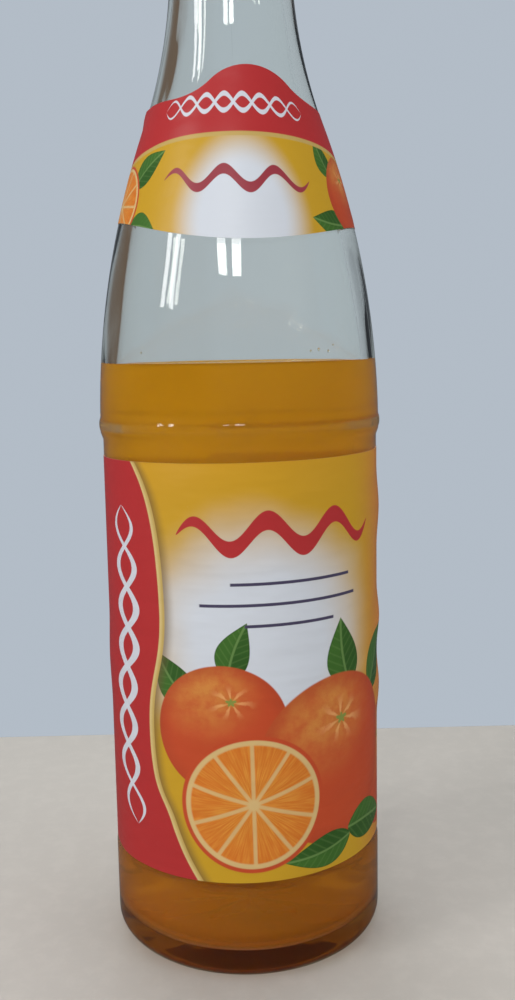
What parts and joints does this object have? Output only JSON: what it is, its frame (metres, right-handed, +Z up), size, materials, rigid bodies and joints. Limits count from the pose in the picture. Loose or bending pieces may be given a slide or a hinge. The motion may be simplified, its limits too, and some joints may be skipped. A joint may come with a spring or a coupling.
{
  "type": "bottle of orange soda",
  "caption": "Clear glass bottle of orange soda, open and partly full, with a paper label round the body and a paper collar with a wave edge on the shoulder.",
  "frame": {"origin": "centre of the standing ring, on the surface that the bottle stands on", "axes": "+Z up along the bottle's axis; the fronts of the labels face -Y, and +X is to the right of someone who looks at them"},
  "size_m": [0.0678, 0.0678, 0.254],
  "materials": {
    "clear_glass": "clear, smooth",
    "orange_soda": "cloudy orange liquid with a still surface",
    "label_paper": "coated paper, printed red, gold, white, orange and green",
    "collar_paper": "coated paper, printed red and gold"
  },
  "bodies": {
    "root": {"bottle": "clear_glass", "soda": "orange_soda", "body_label": "label_paper", "neck_label": "collar_paper"}
  },
  "joints": []
}
